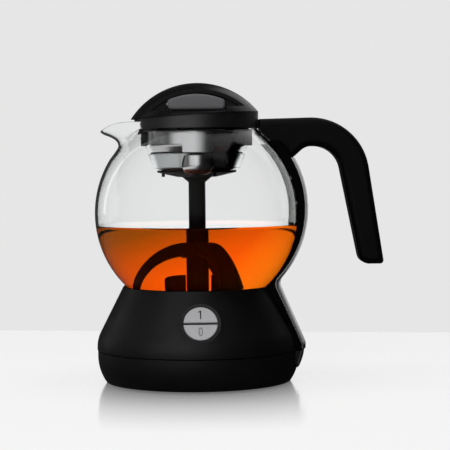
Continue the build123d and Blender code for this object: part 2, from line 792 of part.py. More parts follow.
def button_face(grow):
    x, z0, z1 = button_x, button_z[0], button_z[1]
    box = Pos(x, z0 + 8.0) * Rectangle(2 * button_half, 16.0)
    face = box & (Pos(x, z1 - 50.0) * Circle(50.0))
    face = fillet(face.vertices(), 3.0)
    return offset(face, grow) if grow else face


def lid_crown():
    cap = crown_ball(0) & lean(block(-80, 80, -80, 80, crown_rim, far))
    wall_in = recess_y - recess_lip - recess_wall
    inner = crown_ball(crown_t) & block(-80, 80, -wall_in, wall_in, crown_z, far)
    cap -= inner & lean(block(-80, 80, -80, 80, crown_rim - 1, far))
    recess = lean(block(-80, 80, recess_y, 80, recess_floor, far))
    under_lip = crown_ball(crown_t) & lean(block(-80, 80, recess_y - recess_lip, 80, recess_floor, far))
    pocket = lean(block(-21.0, 21.0, recess_y - recess_lip, 80, crown_rim + 1.3, recess_floor + 1))
    for cut in front_and_back(recess) + front_and_back(under_lip) + front_and_back(pocket):
        cap -= cut
    for cut in front_and_back(across(button_face(0.35), 10.0, 40.0)):
        cap -= cut
    under = lid_plate_z[1]
    cap += [disc(3.5, under, far, x, y) & crown_ball(crown_t - 0.5) for x, y in lid_screw_at]
    cap -= [disc(shank_r + screw_fit, crown_z, under + 9.4, x, y) for x, y in lid_screw_at]
    return cap


def skirt_notch():
    return block(-60, -30, -21.5, 21.5, 0, lid_plate_z[0])


def lid_skirt():
    skirt = ring(skirt_r - skirt_t, skirt_r, skirt_low, crown_rim + 10.0)
    skirt &= lean(block(-80, 80, -80, 80, crown_z, crown_rim))
    return skirt - skirt_notch()


def lid_plate():
    plate = disc(skirt_r - skirt_t, *lid_plate_z)
    plate += ring(plug_r - 2.5, plug_r, collar_top + lift_gap, lid_plate_z[0])
    plate -= [disc(shank_r + 0.1, 0, far, x, y) for x, y in lid_screw_at]
    carrier = block(-16.0, 16.0, -carrier_half, carrier_half, lid_plate_z[1], button_z[1] - 1.1)
    return plate + carrier


def lid_screws():
    under = lid_plate_z[0]
    return group([disc(shank_r, under, under + 9.5, x, y) + disc(2.4, under - 1.2, under, x, y)
                  for x, y in lid_screw_at])


def lid_gasket():
    z0 = collar_top + lift_gap + 0.4
    body = outline((plug_r, z0), (ear_r, z0 + 1.0), (ear_r, z0 + 1.8), (plug_r + 0.9, z0 + 1.8),
                   (plug_r + 0.9, lid_plate_z[0]), (plug_r, lid_plate_z[0]))
    return turned(body)


def lid_button():
    """Squeeze button at the back; its twin is at the front."""
    wall_in = recess_y - recess_lip - recess_wall
    body = across(button_face(0), button_back, button_y)
    body = fillet(body.faces().sort_by(Axis.Y)[-1].edges(), 1.5)
    flange = button_face(1.6) & (Pos(crown_x, crown_z) * Circle(47.0))
    body += across(flange, wall_in - 2.4, wall_in - lift_gap)
    return body


def lid_springs(side):
    """Two coils behind the back (side 1) or front (side -1) button."""
    springs = []
    for x in (button_x - 10.0, button_x + 10.0):
        plane = Plane(origin=(x, side * carrier_half, button_z[0] + 4.6), x_dir=(1, 0, 0), z_dir=(0, side, 0))
        springs.append(plane * coil(2.6, wire_r, button_back - carrier_half, 3))
    return group(springs)


# ---------------------------------------------------------------- hand over
def nodes():
    front_half, back_half = handle_halves()
    button = lid_button()
    return {
        "base_shell": base_shell(),
        "base_plate": base_plate(),
        "base_feet": base_feet(),
        "base_screws": base_screws(),
        "base_socket": base_socket(),
        "socket_contacts": socket_contacts(),
        "cord_bush": cord_bush(),
        "base_tab_strip": base_tab_strip(),
        "heater_housing": heater_housing(),
        "jug_bottom_cover": jug_bottom_cover(),
        "jug_screws": jug_screws(),
        "jug_plug": jug_plug(),
        "plug_contacts": plug_contacts(),
        "glass_seal": glass_seal(),
        "heater_plate": heater_plate(),
        "clamp_ring": clamp_ring(),
        "clamp_screws": clamp_screws(),
        "heating_element": heating_element(),
        "thermostat": thermostat(),
        "switch_bezel": switch_bezel(),
        "switch_block": switch_block(),
        "on_key": key(1),
        "off_key": key(-1),
        "on_key_spring": key_spring(1),
        "off_key_spring": key_spring(-1),
        "glass_jug": glass_jug(),
        "spine": spine(),
        "spine_strip": spine_strip(),
        "bond_pads": bond_pads(),
        "spine_screws": spine_screws(),
        "root_screws": root_screws(),
        "handle_front_half": front_half,
        "handle_back_half": back_half,
        "handle_screws": handle_screws(),
        "riser_tube": riser_tube(),
        "riser_foot": riser_foot(),
        "riser_bell": riser_bell(),
        "filter_basket": filter_basket(),
        "filter_mesh": filter_mesh(),
        "basket_dish": basket_dish(),
        "basket_sleeve": basket_sleeve(),
        "basket_collar": basket_collar(),
        "outlet_channel": outlet_channel(),
        "outlet_cup": outlet_cup(),
        "lid_crown": lid_crown(),
        "lid_skirt": lid_skirt(),
        "lid_plate": lid_plate(),
        "lid_screws": lid_screws(),
        "lid_gasket": lid_gasket(),
        "lid_button_back": button,
        "lid_button_front": mirror(button, Plane.XZ),
        "lid_springs_back": lid_springs(1),
        "lid_springs_front": lid_springs(-1),
    }


os.makedirs("parts", exist_ok=True)
for name, shape in nodes().items():
    export_step(shape, os.path.join("parts", name + ".step"))
    box = shape.bounding_box()
    low = [round(v, 2) for v in (box.min.X, box.min.Y, box.min.Z)]
    high = [round(v, 2) for v in (box.max.X, box.max.Y, box.max.Z)]
    print(name, len(shape.solids()), round(shape.volume), low, high)
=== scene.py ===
import json
import math

import bmesh
import bpy
from mathutils import Matrix, Vector

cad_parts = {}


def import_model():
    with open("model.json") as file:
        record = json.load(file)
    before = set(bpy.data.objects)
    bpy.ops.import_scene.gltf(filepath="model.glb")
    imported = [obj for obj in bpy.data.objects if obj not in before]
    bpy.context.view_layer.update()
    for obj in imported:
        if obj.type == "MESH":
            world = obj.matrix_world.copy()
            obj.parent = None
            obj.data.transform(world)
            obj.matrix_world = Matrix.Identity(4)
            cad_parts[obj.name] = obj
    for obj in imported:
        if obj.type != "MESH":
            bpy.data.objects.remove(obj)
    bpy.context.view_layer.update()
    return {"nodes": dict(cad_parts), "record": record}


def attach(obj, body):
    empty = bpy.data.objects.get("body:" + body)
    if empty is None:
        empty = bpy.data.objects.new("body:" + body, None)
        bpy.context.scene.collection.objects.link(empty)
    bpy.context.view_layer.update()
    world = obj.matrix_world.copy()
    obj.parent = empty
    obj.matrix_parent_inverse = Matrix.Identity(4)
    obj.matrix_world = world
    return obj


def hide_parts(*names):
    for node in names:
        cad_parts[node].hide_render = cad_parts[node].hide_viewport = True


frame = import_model()
nodes = frame["nodes"]

# ---------------------------------------------------------------- sizes
MM = 0.001

# Shared with the CAD, in millimetres.
BALL_R = 75.0                       # outside of the glass ball
BALL_Z = 124.0                      # its centre
GLASS_T = 2.0                       # its wall
SHOULDER = (63.44, 164.0)           # (r, z) on the ball where the neck and the spout begin
NECK_R, RIM_Z = 43.3, 190.8         # round rim of the neck
FOOT_R, FOOT_Z = 51.0, 61.3         # straight foot of the glass, down in the housing
PLATE_Z = 60.0                      # top of the heater plate
TEA_Z = 115.7                       # level of the tea
CONE_TOP_R, CONE_TOP_Z = 54.7, 70.6
CONE_SLOPE = 0.507                  # radius gained per millimetre down the housing
FACE_Z = 48.8                       # middle of the two keys
FACE_R = CONE_TOP_R + (CONE_TOP_Z - FACE_Z) * CONE_SLOPE
KEY_TILT = math.radians(22.0)

X_AXIS = (1.0, 0.0, 0.0)
Z_AXIS = (0.0, 0.0, 1.0)


# ---------------------------------------------------------------- material helpers
MOTTLE, WEAR = 60.0, 110.0          # cells per metre of the colour and the roughness of plastics
GRAIN_DEPTH = 0.0001                # metres
METAL_EDGE = 0.0003                 # metres over which the edges of metal look rounded
CLEAR_SHINE = (0.12, 0.12, 0.12, 1.0)


def srgb(*values):
    """sRGB 0..255 to a linear colour with alpha."""
    out = []
    for value in values:
        c = value / 255.0
        out.append(c / 12.92 if c <= 0.04045 else ((c + 0.055) / 1.055) ** 2.4)
    return (*out, 1.0)


def connect(tree, value, socket):
    """Feed a socket from another node's output or with a plain value."""
    if isinstance(value, bpy.types.NodeSocket):
        tree.links.new(value, socket)
    else:
        socket.default_value = value


def new_material(name):
    mat = bpy.data.materials.new(name)
    mat.use_nodes = True
    tree = mat.node_tree
    tree.nodes.clear()
    out = tree.nodes.new("ShaderNodeOutputMaterial")
    bsdf = tree.nodes.new("ShaderNodeBsdfPrincipled")
    tree.links.new(bsdf.outputs["BSDF"], out.inputs["Surface"])
    return mat, tree, bsdf, out


def noise(tree, scale, detail=3.0, rough=0.5, stretch=(1, 1, 1)):
    """Noise in object space, scale in cells per metre."""
    coord = tree.nodes.new("ShaderNodeTexCoord")
    mapping = tree.nodes.new("ShaderNodeMapping")
    mapping.inputs["Scale"].default_value = stretch
    tex = tree.nodes.new("ShaderNodeTexNoise")
    tex.inputs["Scale"].default_value = scale
    tex.inputs["Detail"].default_value = detail
    tex.inputs["Roughness"].default_value = rough
    tree.links.new(coord.outputs["Object"], mapping.inputs["Vector"])
    tree.links.new(mapping.outputs["Vector"], tex.inputs["Vector"])
    return tex.outputs["Fac"]


def map_range(tree, value, source, target=(0.0, 1.0)):
    node = tree.nodes.new("ShaderNodeMapRange")
    node.inputs["From Min"].default_value = source[0]
    node.inputs["From Max"].default_value = source[1]
    node.inputs["To Min"].default_value = target[0]
    node.inputs["To Max"].default_value = target[1]
    tree.links.new(value, node.inputs["Value"])
    return node.outputs["Result"]


def spread(tree, value, target):
    """Map noise, which keeps mostly between 0.3 and 0.7, to a range."""
    return map_range(tree, value, (0.3, 0.7), target)


def mix_colour(tree, share, a, b):
    """Mix of two colours, either of them a plain colour or another node's output."""
    node = tree.nodes.new("ShaderNodeMix")
    node.data_type = "RGBA"
    connect(tree, a, node.inputs[6])
    connect(tree, b, node.inputs[7])
    tree.links.new(share, node.inputs[0])
    return node.outputs[2]


def calc(tree, operation, a, b):
    """Math node on two values or outputs."""
    node = tree.nodes.new("ShaderNodeMath")
    node.operation = operation
    connect(tree, a, node.inputs[0])
    connect(tree, b, node.inputs[1])
    return node.outputs[0]


def blend_along(tree, direction, span):
    """0..1 ramp over object space along a direction, span in metres, with a little wander."""
    coord = tree.nodes.new("ShaderNodeTexCoord")
    dot = tree.nodes.new("ShaderNodeVectorMath")
    dot.operation = "DOT_PRODUCT"
    dot.inputs[1].default_value = direction
    tree.links.new(coord.outputs["Object"], dot.inputs[0])
    ramp = map_range(tree, dot.outputs["Value"], span)
    wander = tree.nodes.new("ShaderNodeMath")
    wander.operation = "MULTIPLY_ADD"
    wander.use_clamp = True
    wander.inputs[1].default_value = 0.08
    tree.links.new(noise(tree, 25.0, 1.0), wander.inputs[0])
    tree.links.new(ramp, wander.inputs[2])
    return wander.outputs[0]


def bump(tree, bsdf, height, strength, distance, edge=0.0):
    """Fine bump, with the hard edges of the solids softened over a small radius."""
    node = tree.nodes.new("ShaderNodeBump")
    node.inputs["Strength"].default_value = strength
    node.inputs["Distance"].default_value = distance
    tree.links.new(height, node.inputs["Height"])
    if edge:
        bevel = tree.nodes.new("ShaderNodeBevel")
        bevel.samples = 4
        bevel.inputs["Radius"].default_value = edge
        tree.links.new(bevel.outputs["Normal"], node.inputs["Normal"])
    tree.links.new(node.outputs["Normal"], bsdf.inputs["Normal"])


# ---------------------------------------------------------------- materials
def plastic(name, dark, light, rough, grain=2600.0, strength=0.05, spec=0.35, edge=0.0005):
    """Moulded or lacquered plastic: mottled between two colours, with a fine grain."""
    mat, tree, bsdf, _ = new_material(name)
    tree.links.new(mix_colour(tree, noise(tree, MOTTLE), dark, light), bsdf.inputs["Base Color"])
    tree.links.new(spread(tree, noise(tree, WEAR, 4.0), rough), bsdf.inputs["Roughness"])
    bsdf.inputs["Specular IOR Level"].default_value = spec
    bump(tree, bsdf, noise(tree, grain, 2.0), strength, GRAIN_DEPTH, edge)
    return mat


def metal(name, dark, light, rough, stretch=(1, 1, 1), scale=400.0, strength=0.03):
    """Bare metal, its grain drawn out along the stretch."""
    mat, tree, bsdf, _ = new_material(name)
    grain = noise(tree, scale, 4.0, 0.6, stretch)
    tree.links.new(mix_colour(tree, grain, dark, light), bsdf.inputs["Base Color"])
    streaks = noise(tree, scale * 0.4, 3.0, 0.5, stretch)
    tree.links.new(spread(tree, streaks, rough), bsdf.inputs["Roughness"])
    bsdf.inputs["Metallic"].default_value = 1.0
    bump(tree, bsdf, grain, strength, GRAIN_DEPTH, METAL_EDGE)
    return mat


def clear(name, cloud, rough, ior, passed=1.0):
    """See-through material: cloud is the noise scale of its roughness, passed the share let in."""
    mat, tree, bsdf, _ = new_material(name)
    tree.links.new(spread(tree, noise(tree, cloud), rough), bsdf.inputs["Roughness"])
    bsdf.inputs["IOR"].default_value = ior
    bsdf.inputs["Specular Tint"].default_value = CLEAR_SHINE
    bsdf.inputs["Transmission Weight"].default_value = passed
    return mat, tree, bsdf


def clear_glass():
    """Blown glass with the faintest waves."""
    mat, tree, bsdf = clear("jug_glass_clear", 30.0, (0.0, 0.012), 1.47)
    bsdf.inputs["Base Color"].default_value = (0.985, 0.992, 0.99, 1.0)
    bump(tree, bsdf, noise(tree, 12.0, 1.0), 0.01, 0.001)
    return mat


def clear_plastic():
    """The slightly cloudy sleeve round the basket."""
    mat, tree, bsdf = clear("sleeve_clear", 90.0, (0.06, 0.14), 1.45)
    bsdf.inputs["Base Color"].default_value = (0.93, 0.95, 0.95, 1.0)
    bump(tree, bsdf, noise(tree, 60.0, 1.0), 0.02, 0.0005)
    return mat


# Colours of the tea: a painted shade brown, its own red and a painted light gold.
TEA_SHADE_BROWN = (0.17, 0.034, 0.001, 1.0)
TEA_RED = (1.0, 0.08, 0.001, 1.0)
TEA_LIGHT_GOLD = (1.0, 0.42, 0.012, 1.0)


def amber_tea():
    """Red tea; painted shade makes it browner near the surface on the spout side, painted light golden low
    down on the handle side.
    """
    mat, tree, bsdf = clear("amber_tea", 40.0, (0.0, 0.01), 1.333, 0.95)
    # Painted shade near the surface on the spout side, then painted light low down on the handle side.
    out_of_shade = blend_along(tree, (0.317, 0.0, -0.948), (-0.118, -0.08))
    body = mix_colour(tree, out_of_shade, TEA_SHADE_BROWN, TEA_RED)
    painted_light = blend_along(tree, (0.707, 0.0, -0.707), (-0.05, -0.013))
    tree.links.new(mix_colour(tree, painted_light, body, TEA_LIGHT_GOLD), bsdf.inputs["Base Color"])
    return mat


BLACK = plastic("satin_black", srgb(6, 6, 7), srgb(9, 9, 10), (0.4, 0.48), spec=0.36)
GLOSS = plastic("gloss_black", srgb(5, 5, 6), srgb(8, 8, 9), (0.24, 0.32),
                grain=900.0, strength=0.02, spec=0.18)
GRIP = plastic("grip_black", srgb(3, 3, 4), srgb(5, 5, 6), (0.42, 0.5), spec=0.14)
SPINE = plastic("spine_black", srgb(4, 4, 5), srgb(7, 7, 8), (0.5, 0.58), spec=0.0)
MATT = plastic("matt_black", srgb(8, 8, 9), srgb(12, 12, 13), (0.55, 0.65), spec=0.06)
SKIRT = plastic("skirt_black", srgb(11, 11, 12), srgb(15, 15, 16), (0.36, 0.42),
                grain=1200.0, strength=0.03, spec=1.0)
KEY_GREY = plastic("key_lacquer", srgb(157, 157, 159), srgb(165, 165, 167), (0.34, 0.42),
                   grain=3200.0, strength=0.06, spec=0.5)
BUTTON_GREY = plastic("button_lacquer", srgb(80, 80, 82), srgb(87, 87, 89), (0.3, 0.38),
                      grain=3200.0, spec=0.5, edge=0.0009)
BEZEL_GREY = plastic("bezel_lacquer", srgb(40, 40, 41), srgb(46, 46, 47), (0.3, 0.4),
                     grain=3000.0, spec=0.5)
# The embossed 0 is the key's own grey; this darker grey is painted shade of its raised edges.
KEY_MARK_SHADE = plastic("key_mark_shade", srgb(112, 112, 114), srgb(120, 120, 122), (0.34, 0.42))
INK = plastic("dark_print", srgb(30, 30, 31), srgb(36, 36, 37), (0.5, 0.6))
PHENOLIC = plastic("brown_phenolic", srgb(88, 58, 38), srgb(104, 70, 46), (0.45, 0.6), spec=0.4)
RUBBER = plastic("soft_rubber", srgb(30, 30, 30), srgb(38, 38, 38), (0.6, 0.8),
                 grain=1500.0, strength=0.15, spec=0.3)
SILICONE = plastic("dark_silicone", srgb(34, 34, 35), srgb(42, 42, 43), (0.5, 0.65),
                   grain=900.0, strength=0.08, spec=0.4)

CHROME = metal("polished_steel", srgb(205, 205, 206), srgb(215, 215, 216), (0.05, 0.09), strength=0.01)
BASKET = metal("satin_basket", srgb(205, 205, 206), srgb(215, 215, 216), (0.15, 0.23),
               stretch=(1, 1, 16), scale=240.0, strength=0.02)
CUP = metal("drawn_cup", srgb(228, 228, 229), srgb(236, 236, 237), (0.2, 0.26),
            scale=240.0, strength=0.02)
STRIP = metal("strip_steel", srgb(200, 200, 202), srgb(212, 212, 214), (0.16, 0.24),
              stretch=(1, 1, 12), scale=260.0, strength=0.02)
STEEL = metal("brushed_steel", srgb(178, 178, 180), srgb(196, 196, 197), (0.26, 0.38),
              stretch=(1, 14, 1), scale=300.0, strength=0.05)
ZINC = metal("zinc_steel", srgb(160, 160, 162), srgb(180, 180, 180), (0.25, 0.4))
BRASS = metal("turned_brass", srgb(196, 158, 92), srgb(214, 176, 108), (0.2, 0.32))
SHEATH = metal("sheath_steel", srgb(84, 82, 80), srgb(104, 101, 98), (0.45, 0.6))

GLASS = clear_glass()
SLEEVE = clear_plastic()
TEA = amber_tea()

# The record's material slots, then the nodes that look different from their slot.
SLOT_FINISH = {
    "black_satin": BLACK, "black_gloss": GLOSS, "grey_key": KEY_GREY, "grey_button": BUTTON_GREY,
    "bezel_grey": BEZEL_GREY, "clear_glass": GLASS, "clear_plastic": SLEEVE,
    "polished_steel": CHROME, "satin_steel": STEEL, "fastener_steel": ZINC, "contact_brass": BRASS,
    "element_steel": SHEATH, "thermostat_body": PHENOLIC, "soft_rubber": RUBBER, "silicone": SILICONE,
}
NODE_FINISH = {
    "spine_strip": STRIP, "base_tab_strip": STRIP, "spine": SPINE,
    "handle_front_half": GRIP, "handle_back_half": GRIP,
    "filter_basket": BASKET, "outlet_channel": BASKET, "outlet_cup": CUP,
    "lid_skirt": SKIRT, "riser_tube": MATT, "basket_dish": MATT,
}


def paint(obj, mat):
    obj.data.materials.clear()
    obj.data.materials.append(mat)


for part in frame["record"]["subparts"]:
    node_name = part["node"]
    paint(nodes[node_name], NODE_FINISH.get(node_name, SLOT_FINISH[part["material_slot"]]))


# ---------------------------------------------------------------- mesh helpers
def turned(r, z, degrees):
    """Point at radius r and height z, in millimetres, turned about the axis."""
    a = math.radians(degrees)
    return (r * MM * math.cos(a), r * MM * math.sin(a), z * MM)


def mesh_object(name, bm, mat, body, smooth=True, closed=True):
    """Object from a bmesh, riding a body. A closed one gets its faces turned outward."""
    mesh = bpy.data.meshes.new(name)
    if closed:
        bmesh.ops.recalc_face_normals(bm, faces=bm.faces)
    bm.to_mesh(mesh)
    bm.free()
    for poly in mesh.polygons:
        poly.use_smooth = smooth
    obj = bpy.data.objects.new(name, mesh)
    bpy.context.scene.collection.objects.link(obj)
    paint(obj, mat)
    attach(obj, body)
    return obj


def lathe(name, profile, mat, body, steps):
    """Solid of revolution from an (r, z) outline in millimetres that starts and ends on the axis."""
    bm = bmesh.new()
    loops = []
    for r, z in profile:
        turns = steps if r else 1
        loops.append([bm.verts.new(turned(r, z, 360.0 * k / steps)) for k in range(turns)])
    for a, b in zip(loops, loops[1:]):
        for k in range(steps):
            n = (k + 1) % steps
            corners = [a[k % len(a)], a[n % len(a)], b[n % len(b)], b[k % len(b)]]
            bm.faces.new(list(dict.fromkeys(corners)))      # a corner on the axis counts once
    return mesh_object(name, bm, mat, body)


# ---------------------------------------------------------------- glass jug
FOOT_RINGS, BALL_RINGS, NECK_RINGS = 3, 40, 26
COLUMN_STEP, FINE_STEP = 3.0, 1.5   # degrees between columns of faces, and near the spout
FINE_HALF_ANGLE = 36.0              # degrees each side of the spout with fine columns
SPOUT_AT = 180.0                    # the spout points to -X
SPOUT_HALF_ANGLE = 29.5
SPOUT_SHARPNESS = 2.2
LIP_LOW, LIP_HIGH = 3.2, 2.0        # how late its height follows its reach: low half, high half
SMOOTH_LEVELS = 2

# (r, z) up the neck away from the spout and along the middle of the spout, in millimetres.
NECK_LINE = [SHOULDER, (59.6, 169.6), (55.0, 175.0), (49.7, 180.2), (45.6, 183.9), (43.6, 187.2),
             (NECK_R, RIM_Z)]
SPOUT_LINE = [SHOULDER, (59.7, 168.9), (57.3, 173.2), (58.9, 177.2), (63.4, 180.0), (68.0, 181.8),
              (70.6, 183.8)]


def foot_and_ball():
    """Outer (r, z) of the jug from the foot to the shoulder."""
    line = []
    foot_top = BALL_Z - math.sqrt(BALL_R ** 2 - FOOT_R ** 2)
    for k in range(FOOT_RINGS):
        line.append((FOOT_R, FOOT_Z + (foot_top - FOOT_Z) * k / FOOT_RINGS))
    start = -math.acos(FOOT_R / BALL_R)
    stop = math.asin((SHOULDER[1] - BALL_Z) / BALL_R)
    for k in range(BALL_RINGS + 1):
        a = start + (stop - start) * k / BALL_RINGS
        line.append((BALL_R * math.cos(a), BALL_Z + BALL_R * math.sin(a)))
    return line


def catmull(points, t):
    """Point on a smooth line through the given points, t from 0 to 1."""
    n = len(points) - 1
    i = min(int(t * n), n - 1)
    u = t * n - i
    p = [Vector(points[max(0, min(n, i + k))]) for k in (-1, 0, 1, 2)]
    return 0.5 * ((2 * p[1]) + (p[2] - p[0]) * u + (2 * p[0] - 5 * p[1] + 4 * p[2] - p[3]) * u * u
                  + (3 * p[1] - p[0] - 3 * p[2] + p[3]) * u ** 3)


def column_angles():
    """Degrees of the columns of faces round the jug, closer together near the spout."""
    angles = []
    a = 0.0
    while a < 360.0:
        angles.append(a)
        a += FINE_STEP if abs(a - SPOUT_AT) < FINE_HALF_ANGLE else COLUMN_STEP
    return angles


def spout_share(degrees):
    """How far a column is pulled out: 1 in the middle of the spout, 0 outside it."""
    off = abs(degrees - SPOUT_AT)
    if off >= SPOUT_HALF_ANGLE:
        return 0.0
    return math.cos(math.radians(off * 90.0 / SPOUT_HALF_ANGLE)) ** SPOUT_SHARPNESS


def glass_jug():
    """Blown jug, its neck pulled out into a spout at -X."""
    bm = bmesh.new()
    angles = column_angles()
    rings = [[bm.verts.new(turned(r, z, t)) for t in angles] for r, z in foot_and_ball()]
    for k in range(1, NECK_RINGS + 1):
        u = k / NECK_RINGS
        plain = catmull(NECK_LINE, u)
        pulled = catmull(SPOUT_LINE, u)
        late = 1.0 + LIP_LOW * min(u, 0.5) + LIP_HIGH * max(u - 0.5, 0.0)
        ring = []
        for t in angles:
            w = spout_share(t)
            r = plain.x + (pulled.x - plain.x) * w
            z = plain.y + (pulled.y - plain.y) * w ** late
            ring.append(bm.verts.new(turned(r, z, t)))
        rings.append(ring)
    for lower, upper in zip(rings, rings[1:]):
        for k in range(len(angles)):
            n = (k + 1) % len(angles)
            bm.faces.new((lower[k], lower[n], upper[n], upper[k]))
    obj = mesh_object("glass_jug_blown", bm, GLASS, "jug", closed=False)
    wall = obj.modifiers.new("wall", "SOLIDIFY")
    wall.thickness = GLASS_T * MM
    wall.offset = -1.0
    wall.use_even_offset = True
    smooth = obj.modifiers.new("smooth", "SUBSURF")
    smooth.levels = SMOOTH_LEVELS
    smooth.render_levels = SMOOTH_LEVELS
    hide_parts("glass_jug")


glass_jug()


# ---------------------------------------------------------------- tea
# The tea reaches this far into the wall of the ball and of the foot, so that no air shows between.
BALL_OVERLAP, FOOT_OVERLAP = 0.35, 0.3
TEA_FLOOR = PLATE_Z + 0.05
TEA_FOOT = (47.4, 66.0)             # (r, z) of the step where the tea widens above the seal
TEA_ARC_STEPS, TEA_COLUMNS = 30, 128
# Rings on the surface, as distances in from the wall; the close ones keep its shading flat.
SURFACE_RINGS = (0.0, 0.2, 0.6, 1.3, 2.6, 20.0, 45.0)


def tea():
    """Tea that fills the jug to its level."""
    inner = BALL_R - GLASS_T + BALL_OVERLAP
    foot = FOOT_R - GLASS_T + FOOT_OVERLAP
    profile = [(0.0, TEA_FLOOR), (30.0, TEA_FLOOR), (46.5, TEA_FLOOR), (TEA_FOOT[0], PLATE_Z + 1.0),
               TEA_FOOT, (foot, TEA_FOOT[1] + 1.0)]
    start = -math.acos(foot / inner)
    stop = math.asin((TEA_Z - BALL_Z) / inner)
    for k in range(TEA_ARC_STEPS + 1):
        a = start + (stop - start) * k / TEA_ARC_STEPS
        profile.append((inner * math.cos(a), BALL_Z + inner * math.sin(a)))
    edge = math.sqrt((BALL_R - GLASS_T) ** 2 - (TEA_Z - BALL_Z) ** 2)
    for distance in SURFACE_RINGS:
        profile.append((edge - distance, TEA_Z))
    profile.append((0.0, TEA_Z))
    lathe("tea", profile, TEA, "jug", TEA_COLUMNS)


tea()


# ---------------------------------------------------------------- marks on the keys
# Heights off the keys' middle plane, in millimetres: inside the key, then proud of it.
MARK_SUNK, ONE_TOP, ZERO_TOP = 0.6, 0.78, 0.9
ONE = [(-0.3, 3.2), (0.55, 3.2), (0.55, 9.3), (-0.15, 9.3), (-1.5, 8.5), (-1.5, 7.7), (-0.3, 8.3)]
ZERO_Y = -6.0


def key_matrix():
    """From the keys' own plane, x across and y up, to the slope of the housing."""
    normal = Vector((0, -math.cos(KEY_TILT), math.sin(KEY_TILT)))
    across = Vector(X_AXIS)
    m = Matrix((across, normal.cross(across), normal)).transposed().to_4x4()
    m.translation = Vector((0, -FACE_R, FACE_Z)) * MM
    return m


def mark(name, outlines, top, mat, body):
    """Flat raised sign from one closed outline, or from an outer one and the hole in it."""
    bm = bmesh.new()
    loops = [[bm.verts.new((x * MM, y * MM, top * MM)) for x, y in outline] for outline in outlines]
    outer = loops[0]
    if len(loops) == 2:
        hole = loops[1]
        for k in range(len(outer)):
            n = (k + 1) % len(outer)
            bm.faces.new((outer[k], outer[n], hole[n], hole[k]))
    else:
        bm.faces.new(outer)
    out = bmesh.ops.extrude_face_region(bm, geom=list(bm.faces))
    for item in out["geom"]:
        if isinstance(item, bmesh.types.BMVert):
            item.co.z = MARK_SUNK * MM
    bm.transform(key_matrix())
    mesh_object(name, bm, mat, body, smooth=False)


def oval(y, half_width, half_height, n=40):
    turns = [2 * math.pi * k / n for k in range(n)]
    return [(half_width * math.cos(a), y + half_height * math.sin(a)) for a in turns]


ZERO = [oval(ZERO_Y, 1.55, 3.1), oval(ZERO_Y, 0.85, 2.35)]
mark("mark_1", [ONE], ONE_TOP, INK, "on_key")
# The 0 is drawn in the painted shade grey.
mark("mark_0", ZERO, ZERO_TOP, KEY_MARK_SHADE, "off_key")


# ---------------------------------------------------------------- stage
# The studio shows its bright wall and floor to straight rays and a dark room to mirrored ones, so
# the black plastic stays black. Rays are told apart by what they have met, from the Light Path node.
MIRRORED = ("Glossy Depth", 0.5)
INSIDE_JUG = ("Transmission Depth", 3.5)    # for a mirrored ray: it was mirrored inside the jug
THROUGH_TEA = ("Transmission Depth", 4.5)   # more surfaces crossed than the glass alone has
OFF_FLOOR = ("Transparent Depth", 0.5)      # it has crossed the clear film over the floor

BACKDROP = srgb(230, 230, 230)
BEHIND_TEA = 1.6                    # how much brighter the backdrop is behind the tea

FLOOR_HALF = 4.0
FLOOR_WHITE = 0.93
FLOOR_GLOW = 0.5                    # share of plain white that keeps the floor even
# Painted reflection share of the floor: its strength, the radii where it is full and gone, and its fall.
FLOOR_SHEEN = 0.69
SHEEN_NEAR, SHEEN_FAR = 0.066, 0.228
SHEEN_FALL = 1.3
FILM_Z = 0.0002

# What mirrored rays see of the floor, with the x ranges over which it changes.
MIRRORED_LEFT, MIRRORED_RIGHT = srgb(92, 92, 92), srgb(22, 22, 22)
MIRRORED_SPAN = (-0.35, 0.1)
JUG_LEFT = srgb(225, 225, 225)
JUG_LEFT_SPAN, JUG_RIGHT_SPAN = (-0.7, -0.35), (-0.22, 0.03)

WALL_HALF, WALL_TOP = 0.6, 1.4
WALL_Y, WALL_SLANT = 0.343, -0.168  # distance behind the origin, and its change with x
WALL_IN_OBJECT = 0.015
TEA_BAND_Z, TEA_BAND_LIGHT = 0.145, 1.45
# Patch of the wall that lights the steel strip and the right edges: x and z ranges of its fades.
PATCH_LIGHT = 0.9
PATCH_X, PATCH_Z = (0.07, 0.13), (-0.01, 0.05)
PATCH_X_END, PATCH_Z_HIGH = (0.17, 0.27), (0.25, 0.3)


def plane(name, corners, mat):
    mesh = bpy.data.meshes.new(name)
    mesh.from_pydata(corners, [], [(0, 1, 2, 3)])
    obj = bpy.data.objects.new(name, mesh)
    bpy.context.scene.collection.objects.link(obj)
    paint(obj, mat)
    return obj


def level_plane(name, z, mat):
    h = FLOOR_HALF
    return plane(name, [(-h, -h, z), (h, -h, z), (h, h, z), (-h, h, z)], mat)


def ray(tree, fact):
    """Output of the Light Path node."""
    return tree.nodes.new("ShaderNodeLightPath").outputs[fact]


def has_met(tree, event):
    """1 for rays past the depth that an event stands for."""
    fact, limit = event
    return calc(tree, "GREATER_THAN", ray(tree, fact), limit)


def inverse(tree, value):
    """1 minus the value."""
    return calc(tree, "SUBTRACT", 1.0, value)


def straight_ray(tree):
    """1 for rays from the camera, straight or through glass, that no surface has mirrored."""
    through = calc(tree, "MULTIPLY", ray(tree, "Is Transmission Ray"), inverse(tree, has_met(tree, MIRRORED)))
    return calc(tree, "MAXIMUM", ray(tree, "Is Camera Ray"), through)


def mirrored_or_through(tree):
    """1 for rays that a surface has just mirrored or let through."""
    return calc(tree, "MAXIMUM", ray(tree, "Is Glossy Ray"), ray(tree, "Is Transmission Ray"))


def behind_tea(tree):
    """Backdrop strength: brighter behind two glass walls with tea between them."""
    return calc(tree, "ADD", calc(tree, "MULTIPLY", has_met(tree, THROUGH_TEA), BEHIND_TEA - 1.0), 1.0)


